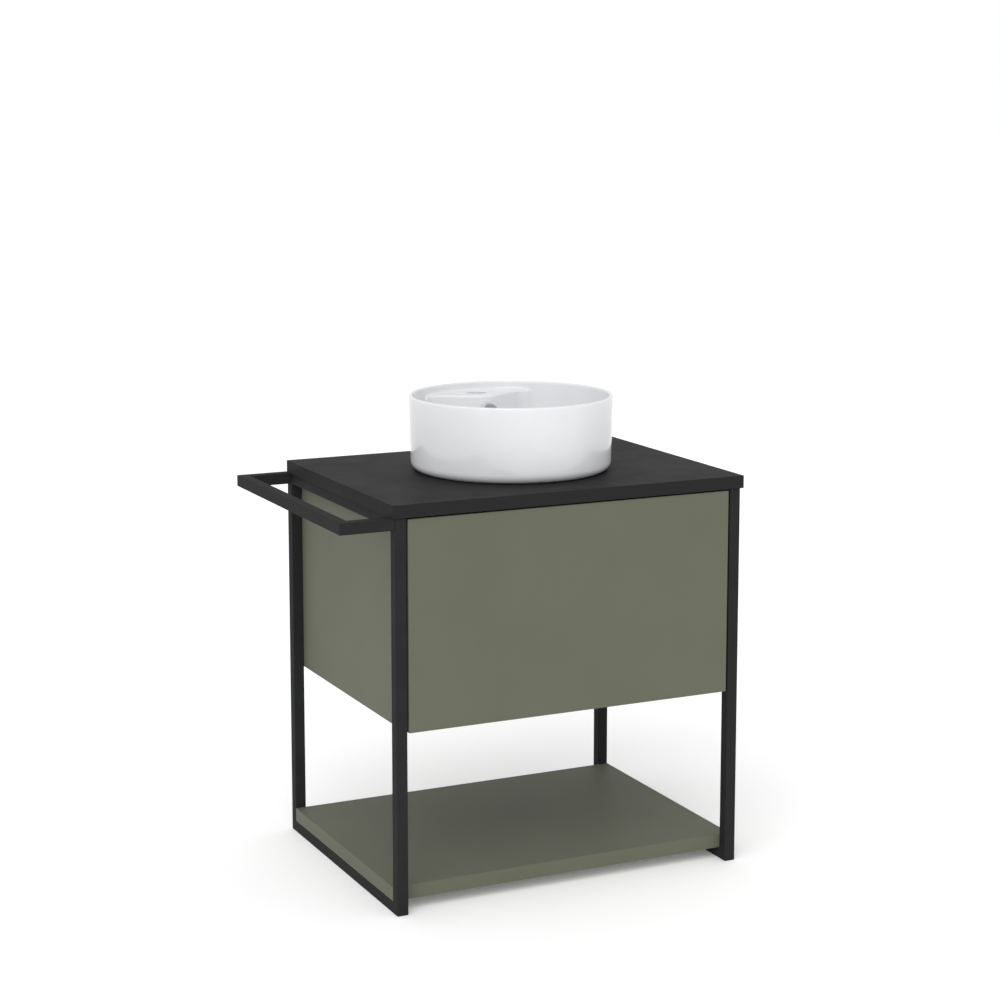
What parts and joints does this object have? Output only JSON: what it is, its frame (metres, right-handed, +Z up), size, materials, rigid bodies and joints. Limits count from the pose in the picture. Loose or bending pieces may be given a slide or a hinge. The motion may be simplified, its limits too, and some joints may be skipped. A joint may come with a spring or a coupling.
{
  "type": "vessel sink on vanity",
  "caption": "Round white countertop basin with tap deck on a black steel-tube vanity with side towel rail, thin worktop, grey-green handleless drawer and low open shelf.",
  "frame": {"origin": "middle of the base: the centre of the whole object's footprint, towel rail included, on the floor", "axes": "+Z up, front of the drawer faces -Y, towel rail on the -X side"},
  "size_m": [0.751, 0.503, 0.826],
  "materials": {
    "frame_steel": "fine matt black powder coat",
    "worktop_black": "matt black compact board",
    "cabinet_green": "satin grey-green lacquered board",
    "drawer_grey": "grey melamine-faced board",
    "zinc_steel": "bright zinc-plated steel",
    "basin_ceramic": "glossy white glaze",
    "chrome": "polished",
    "brass_nut": "raw",
    "rubber": "matt",
    "latch_plastic": "moulded"
  },
  "bodies": {
    "root": {"left_front_post": "frame_steel", "left_back_post": "frame_steel", "left_bottom_rail": "frame_steel", "left_top_rail": "frame_steel", "right_front_post": "frame_steel", "right_back_post": "frame_steel", "right_bottom_rail": "frame_steel", "right_top_rail": "frame_steel", "towel_bar": "frame_steel", "towel_arm_front": "frame_steel", "towel_arm_back": "frame_steel", "worktop": "worktop_black", "shelf": "cabinet_green", "cabinet_side_left": "cabinet_green", "cabinet_side_right": "cabinet_green", "cabinet_bottom": "cabinet_green", "cabinet_back_rail": "cabinet_green", "worktop_stretcher_front": "cabinet_green", "worktop_stretcher_back": "cabinet_green", "runner_outer_left": "zinc_steel", "runner_outer_right": "zinc_steel", "left_frame_bolt_front": "zinc_steel", "left_frame_bolt_back": "zinc_steel", "right_frame_bolt_front": "zinc_steel", "right_frame_bolt_back": "zinc_steel", "worktop_screw_front_left": "zinc_steel", "worktop_screw_front_right": "zinc_steel", "worktop_screw_back_left": "zinc_steel", "worktop_screw_back_right": "zinc_steel", "push_latch_housing": "latch_plastic", "trap_body": "chrome", "trap_cup": "chrome", "trap_inlet_nut": "chrome", "trap_outlet_nut": "chrome", "trap_outlet_pipe": "chrome", "wall_rosette": "chrome"},
    "drawer": {"drawer_front": "cabinet_green", "drawer_side_left": "drawer_grey", "drawer_side_right": "drawer_grey", "drawer_back_left": "drawer_grey", "drawer_back_right": "drawer_grey", "trap_bay_left": "drawer_grey", "trap_bay_right": "drawer_grey", "trap_bay_front": "drawer_grey", "drawer_bottom": "drawer_grey", "runner_inner_left": "zinc_steel", "runner_inner_right": "zinc_steel"},
    "runner_left": {"runner_middle_left": "zinc_steel"},
    "runner_right": {"runner_middle_right": "zinc_steel"},
    "latch_plunger": {"push_latch_plunger": "latch_plastic"},
    "basin_set": {"basin": "basin_ceramic", "overflow_cap": "chrome", "waste_body": "chrome", "waste_seal": "rubber", "waste_backnut": "brass_nut", "tailpiece": "chrome"},
    "waste_plug": {"waste_cap": "basin_ceramic", "waste_cap_stem": "chrome", "waste_cap_seal": "rubber"}
  },
  "joints": [
    {"name": "drawer_slide", "type": "slide", "parent": "root", "child": "drawer", "axis": [0, -1, 0], "range_m": [0, 0.38]},
    {"name": "runner_left_slide", "type": "slide", "parent": "root", "child": "runner_left", "axis": [0, -1, 0], "range_m": [0, 0.19]},
    {"name": "runner_right_slide", "type": "slide", "parent": "root", "child": "runner_right", "axis": [0, -1, 0], "range_m": [0, 0.19]},
    {"name": "latch_press", "type": "slide", "parent": "root", "child": "latch_plunger", "axis": [0, 1, 0], "range_m": [0, 0.004], "stiffness_N_per_m": 500},
    {"name": "basin_lift", "type": "slide", "parent": "root", "child": "basin_set", "axis": [0, 0, 1], "range_m": [0, 0.33]},
    {"name": "waste_plug_press", "type": "slide", "parent": "basin_set", "child": "waste_plug", "axis": [0, 0, 1], "range_m": [0, 0.008]}
  ],
  "couplings": [
    {"joint": "runner_left_slide", "follows": "drawer_slide", "ratio": 0.5},
    {"joint": "runner_right_slide", "follows": "drawer_slide", "ratio": 0.5}
  ]
}
